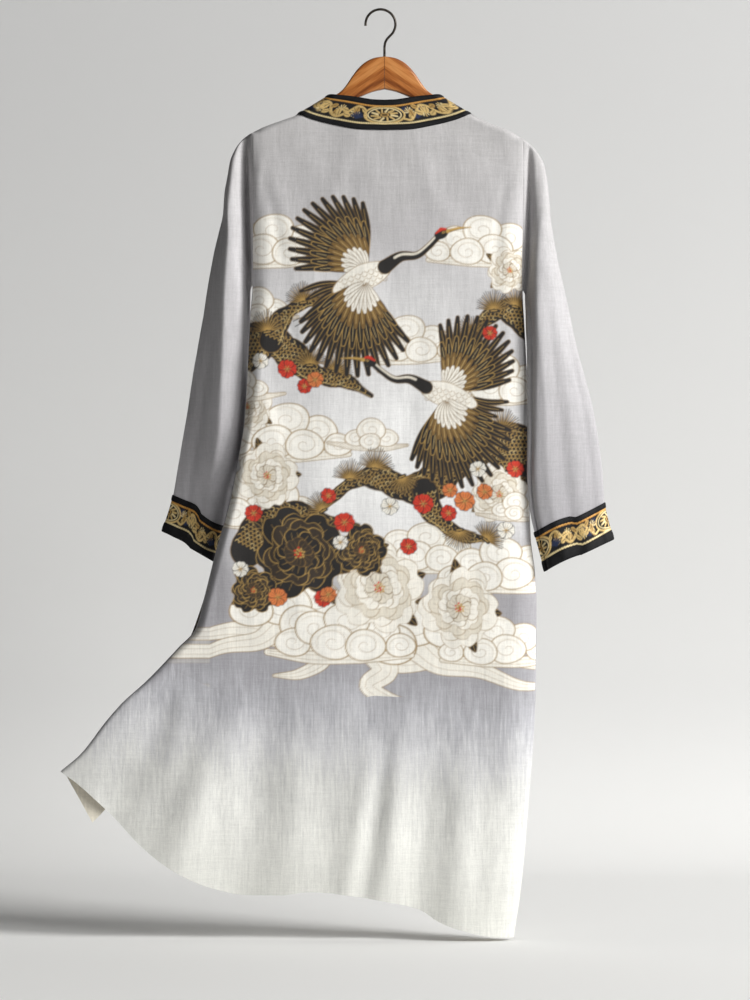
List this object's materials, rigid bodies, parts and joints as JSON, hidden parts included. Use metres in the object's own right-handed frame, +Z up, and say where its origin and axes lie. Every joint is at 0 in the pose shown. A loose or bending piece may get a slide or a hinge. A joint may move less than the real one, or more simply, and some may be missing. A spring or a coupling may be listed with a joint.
{
  "type": "kimono on hanger",
  "caption": "Long open-fronted kimono robe with banded collar and cuffs, hanging on a wooden hanger with a wire hook; one side of the skirt blows outwards.",
  "frame": {"origin": "inner top of the wire hook, where a rail or peg carries the hanger", "axes": "+Z up, -Y the way the garment's back faces, +X to the right of one who looks at its back"},
  "size_m": [0.8309, 0.0989, 1.3973],
  "materials": {
    "linen": "plain-weave linen, matt",
    "brocade": "gold and black woven brocade",
    "binding": "black satin binding",
    "wood": "varnished",
    "steel": "darkened wire"
  },
  "bodies": {
    "root": {"back_left": "linen", "back_right": "linen", "front_left": "linen", "front_right": "linen", "sleeve_left": "linen", "sleeve_right": "linen", "collar_band": "brocade", "collar_edge_neck": "binding", "collar_edge_body": "binding", "cuff_edge_top_left": "binding", "cuff_edge_top_right": "binding", "cuff_band_left": "brocade", "cuff_band_right": "brocade", "cuff_edge_hem_left": "binding", "cuff_edge_hem_right": "binding", "hanger_left": "wood", "hanger_right": "wood", "hook": "steel"}
  },
  "joints": []
}
